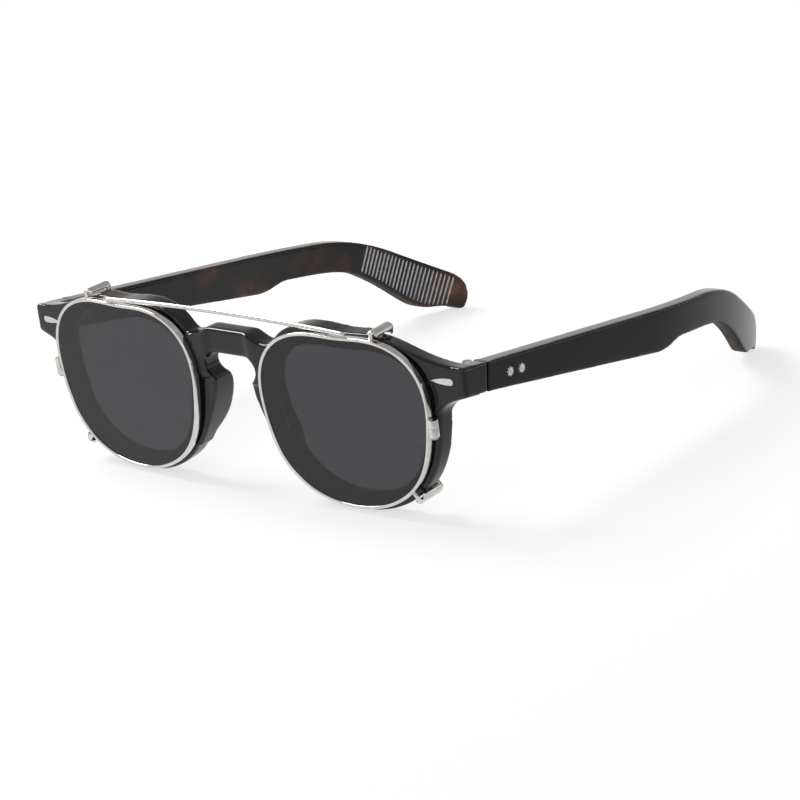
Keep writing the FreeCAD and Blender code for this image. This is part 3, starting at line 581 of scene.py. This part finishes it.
for side, sign in (("right", 1.0), ("left", -1.0)):
    members = [("temple_" + side, (0.0, 0.0, 0.0)),
               ("temple_rivets_" + side, (temple["rivetSink"] * sign, 0.0, 0.0))]
    blank = polishedCopy("temple_blank_" + side, members, temple["grain"], temple["passes"],
                         temple["morePasses"], templeWeight)
    paintLayers(blank)
    settle(blank, finishes["temple_acetate"], side + "_temple", "temple_acetate", "temple_" + side)
    ridge = makeRibs("temple_ribs_" + side, sign)
    # the ribs carry the painted grey highlight
    settle(ridge, paintedRibSheen, side + "_temple", "temple_acetate")
    stars = makeRivets("rivet_stars_" + side, sign)
    settle(stars, finishes["silver"], side + "_temple", "silver", "temple_rivets_" + side)
    print("temple made with", len(blank.data.polygons), "faces")

# small metal pieces keep their solids, with broken edges
edges = {
    "rim_lock": 0.2, "rim_lock_screw": 0.1, "front_plaque": 0.06, "front_hinge": 0.1, "temple_hinge": 0.1,
    "hinge_screw": 0.08,
}
bevelLook = {"segments": 3, "angle": math.radians(38.0)}


def breakEdges(node, width):
    weld = node.modifiers.new("weld", "WELD")
    weld.merge_threshold = weldGap * mm
    bevel = node.modifiers.new("brokenEdge", "BEVEL")
    bevel.width = width * mm
    bevel.segments = bevelLook["segments"]
    bevel.limit_method = "ANGLE"
    bevel.angle_limit = bevelLook["angle"]
    node.modifiers.new("evenNormals", "WEIGHTED_NORMAL").keep_sharp = False
    for face in node.data.polygons:
        face.use_smooth = True


for kind, width in edges.items():
    for side in ("right", "left"):
        breakEdges(nodes[kind + "_" + side], width)
print("metal edges broken")

# wire rims of the sun clip
clipRim = {"width": 0.85, "deep": 1.9, "depth": -1.25, "round": 0.3, "stations": 260, "corner": 4}


def makeRim(name, sign):
    section = []
    half = clipRim["deep"] / 2 - clipRim["round"]
    for corner, (out, back) in enumerate(((1, 1), (0, 1), (0, -1), (1, -1))):
        for step in range(clipRim["corner"] + 1):
            angle = (corner + step / clipRim["corner"]) * math.pi / 2
            middle = clipRim["round"] if out == 0 else clipRim["width"] - clipRim["round"]
            section.append((middle + clipRim["round"] * math.cos(angle),
                            back * half + clipRim["round"] * math.sin(angle)))
    rings = []
    for station in range(clipRim["stations"]):
        angle = 2.0 * math.pi * station / clipRim["stations"]
        edge = lensPoint(angle)
        normal = lensNormal(angle)
        rings.append([(sign * (edge.x + normal.x * out), back, edge.y + normal.y * out)
                      for out, back in section])
    return sweep(name, [rings], seatOf(sign, clipRim["depth"]), True)


# claws bent from half tubes
claw = {
    "angles": {"top": math.radians(62.0), "bottom": math.radians(-44.0)},
    "rise": {"top": 2.32, "bottom": 3.2}, "back": {"top": 7.55, "bottom": 8.3},
    "half": {"top": 1.5, "bottom": 1.75}, "high": {"top": 1.25, "bottom": 1.6},
    "front": -0.6, "foot": -0.3, "bend": 0.9, "hook": 2.9, "lead": 0.4, "shares": (0.12, 0.3, 0.6, 0.9),
    "wall": 0.34, "leastWall": 0.05, "legHalf": 0.62, "legHigh": 0.4, "hookHigh": 0.8,
    "grown": (0.5, math.pi / 2), "tipShare": 0.75, "arc": 10, "turns": 6,
}


def clawPath(rise, back):
    bend = claw["bend"]
    path = [(claw["front"], claw["foot"], 0.0), (claw["front"], rise - bend - claw["lead"], 0.0)]
    for step in range(claw["turns"] + 1):
        turn = step / claw["turns"] * math.pi / 2
        path.append((claw["front"] + bend * (1.0 - math.cos(turn)), rise - bend * (1.0 - math.sin(turn)),
                     turn))
    for share in claw["shares"]:
        path.append((claw["front"] + bend + share * (back - claw["front"] - 2.0 * bend), rise, math.pi / 2))
    for step in range(claw["turns"] + 1):
        turn = step / claw["turns"] * math.pi / 2
        path.append((back - bend * (1.0 - math.sin(turn)), rise - bend * (1.0 - math.cos(turn)),
                     math.pi / 2 + turn))
    path.append((back, rise - claw["hook"] + claw["lead"], math.pi))
    path.append((back, rise - claw["hook"], math.pi))
    return path


def makeClaw(name, sign, level):
    rings = []
    path = clawPath(claw["rise"][level], claw["back"][level])
    for index, (along, up, turn) in enumerate(path):
        grown = easeIn(turn, *claw["grown"])
        bent = easeIn(turn, math.pi / 2, math.pi)
        half = claw["legHalf"] + (claw["half"][level] - claw["legHalf"]) * grown
        high = claw["legHigh"] + (claw["high"][level] - claw["legHigh"]) * grown
        high += (claw["hookHigh"] - claw["high"][level]) * bent
        if index == len(path) - 1:
            half *= claw["tipShare"]
        ring = []
        for inner in (0.0, claw["wall"]):
            arc = [math.pi * step / claw["arc"] for step in range(claw["arc"] + 1)]
            for angle in (arc if inner == 0.0 else reversed(arc)):
                across = (half - inner) * math.cos(angle)
                sunk = high - max(high - inner, claw["leastWall"]) * math.sin(angle)
                ring.append((across, along + sunk * math.cos(turn), up - sunk * math.sin(turn)))
        rings.append(ring)
    angle = claw["angles"][level]
    normal = lensNormal(angle)
    foot = lensPoint(angle) + normal * clipRim["width"]
    lean = math.atan2(sign * normal.x, normal.y)
    place = Matrix.Translation((sign * foot.x, 0.0, foot.y)) @ Matrix.Rotation(lean, 4, "Y")
    return sweep(name, [rings], seatOf(sign, clipRim["depth"]) @ place)


for side, sign in (("right", 1.0), ("left", -1.0)):
    settle(makeRim("wire_rim_" + side, sign), finishes["silver"], "sun_clip", "silver", "clip_rim_" + side)
    for level in ("top", "bottom"):
        bent = makeClaw("bent_" + level + "_claw_" + side, sign, level)
        settle(bent, finishes["silver"], "sun_clip", "silver", level + "_claw_" + side)
print("rims and claws made")

# brow bar with rounded ends, a slight arch and a hatched middle
bar = {
    "half": 39.6, "radius": 0.56, "round": 0.42, "hatch": 15.5, "pitch": 0.55, "depth": 0.08, "around": 24,
    "arch": 1.0, "plain": 10, "cap": (0.05, 0.3, 0.6, 1.0), "groove": (0.35, 0.65),
}


def makeBar():
    low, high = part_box("brow_bar")
    middle = (low + high) * (0.5 / mm)
    ends = []
    for share in bar["cap"]:
        turn = share * math.pi / 2
        ends.append((-bar["half"] + bar["round"] * (1.0 - math.cos(turn)),
                     bar["radius"] - bar["round"] * (1.0 - math.sin(turn))))
    reach = ends[-1][0]
    for step in range(1, bar["plain"]):
        ends.append((reach + (-bar["hatch"] - reach) * step / bar["plain"], bar["radius"]))
    stops = list(ends)
    for step in range(int(2.0 * bar["hatch"] / bar["pitch"])):
        place = -bar["hatch"] + step * bar["pitch"]
        stops.append((place, bar["radius"]))
        stops.append((place + bar["groove"][0] * bar["pitch"], bar["radius"]))
        stops.append((place + bar["groove"][1] * bar["pitch"], bar["radius"] - bar["depth"]))
    stops.append((bar["hatch"], bar["radius"]))
    stops += [(-place, radius) for place, radius in reversed(ends)]
    rings = []
    for place, radius in stops:
        lift = bar["arch"] * (1.0 - (place / bar["half"]) ** 2)
        turns = [2.0 * math.pi * step / bar["around"] for step in range(bar["around"])]
        rings.append([(place, radius * math.cos(turn), lift + radius * math.sin(turn)) for turn in turns])
    piece = sweep("hatched_bar", [rings], Matrix.Translation(middle))
    settle(piece, finishes["silver"], "sun_clip", "silver", "brow_bar")


makeBar()
print("brow bar made")

# floor and light: white paper under a sky that is white low down and grey overhead
room = {
    "floor": 6.0, "below": -0.0002, "paper": (0.9, 0.9, 0.9, 1.0), "white": (1.0, 1.0, 1.0, 1.0),
    "nearWhite": 0.7, "fade": (0.12, 0.5), "sky": 0.5, "skyBand": (0.05, 0.5), "overhead": 0.35,
    "sides": (0.02, 0.14), "sideLight": (0.85, 0.47),
}


def lightPathMix(tree, seen, other):
    path = addNode(tree, "ShaderNodeLightPath")
    first = addNode(tree, "ShaderNodeMath", operation="MAXIMUM")
    second = addNode(tree, "ShaderNodeMath", operation="MAXIMUM")
    tree.links.new(path.outputs["Is Camera Ray"], first.inputs[0])
    tree.links.new(path.outputs["Is Glossy Ray"], first.inputs[1])
    tree.links.new(first.outputs[0], second.inputs[0])
    tree.links.new(path.outputs["Is Transmission Ray"], second.inputs[1])
    mix = addNode(tree, "ShaderNodeMixShader")
    tree.links.new(second.outputs[0], mix.inputs["Fac"])
    tree.links.new(other, mix.inputs[1])
    tree.links.new(seen, mix.inputs[2])
    return mix.outputs[0]


def makeFloor():
    mesh = bpy.data.meshes.new("floor")
    half = room["floor"] / 2
    corners = [(-half, -half, 0), (half, -half, 0), (half, half, 0), (-half, half, 0)]
    mesh.from_pydata(corners, [], [(0, 1, 2, 3)])
    floor = bpy.data.objects.new("floor", mesh)
    bpy.context.scene.collection.objects.link(floor)
    floor.location.z = room["below"]
    material = bpy.data.materials.new("whiteFloor")
    material.use_nodes = True
    tree = material.node_tree
    tree.nodes.clear()
    point = objectPoint(tree)
    paper = addNode(tree, "ShaderNodeBsdfDiffuse", Color=room["paper"])
    glow = addNode(tree, "ShaderNodeEmission", Color=room["white"], Strength=1.0)
    distance = addNode(tree, "ShaderNodeVectorMath", operation="LENGTH")
    tree.links.new(point, distance.inputs[0])
    fade = mapBetween(tree, distance.outputs["Value"], room["fade"], (room["nearWhite"], 1.0))
    seen = addNode(tree, "ShaderNodeMixShader")
    tree.links.new(fade, seen.inputs["Fac"])
    tree.links.new(paper.outputs[0], seen.inputs[1])
    tree.links.new(glow.outputs[0], seen.inputs[2])
    axes = addNode(tree, "ShaderNodeSeparateXYZ")
    tree.links.new(point, axes.inputs[0])
    mirrored = addNode(tree, "ShaderNodeEmission", Color=room["white"])
    sides = mapBetween(tree, axes.outputs["X"], room["sides"], room["sideLight"])
    tree.links.new(sides, mirrored.inputs["Strength"])
    path = addNode(tree, "ShaderNodeLightPath")
    shown = addNode(tree, "ShaderNodeMixShader")
    tree.links.new(path.outputs["Is Glossy Ray"], shown.inputs["Fac"])
    tree.links.new(seen.outputs[0], shown.inputs[1])
    tree.links.new(mirrored.outputs[0], shown.inputs[2])
    out = addNode(tree, "ShaderNodeOutputMaterial")
    tree.links.new(lightPathMix(tree, shown.outputs[0], paper.outputs[0]), out.inputs["Surface"])
    mesh.materials.append(material)


def makeSky():
    world = bpy.data.worlds.new("whiteSky")
    bpy.context.scene.world = world
    world.use_nodes = True
    tree = world.node_tree
    tree.nodes.clear()
    axes = addNode(tree, "ShaderNodeSeparateXYZ")
    tree.links.new(addNode(tree, "ShaderNodeTexCoord").outputs["Generated"], axes.inputs[0])
    white = addNode(tree, "ShaderNodeBackground", Color=room["white"])
    band = mapBetween(tree, axes.outputs["Z"], room["skyBand"], (1.0, room["overhead"]))
    path = addNode(tree, "ShaderNodeLightPath")
    bright = addNode(tree, "ShaderNodeMath", operation="MAXIMUM")
    tree.links.new(band, bright.inputs[0])
    tree.links.new(path.outputs["Is Camera Ray"], bright.inputs[1])
    tree.links.new(bright.outputs[0], white.inputs["Strength"])
    soft = addNode(tree, "ShaderNodeBackground", Color=room["white"], Strength=room["sky"])
    out = addNode(tree, "ShaderNodeOutputWorld")
    tree.links.new(lightPathMix(tree, white.outputs[0], soft.outputs[0]), out.inputs["Surface"])


lamps = {
    "keyLamp": {"place": (-0.60, -0.05, 0.73), "size": 0.5, "power": 9.0},
    "fillLamp": {"place": (0.45, -0.75, 0.6), "size": 0.7, "power": 1.0},
}


def makeLamp(name, look):
    data = bpy.data.lights.new(name, "AREA")
    data.size = look["size"]
    data.energy = look["power"]
    lamp = bpy.data.objects.new(name, data)
    bpy.context.scene.collection.objects.link(lamp)
    lamp.location = look["place"]
    lamp.rotation_euler = (-Vector(look["place"])).to_track_quat("-Z", "Y").to_euler()


makeFloor()
makeSky()
for name, look in lamps.items():
    makeLamp(name, look)
print("floor and lamps made")
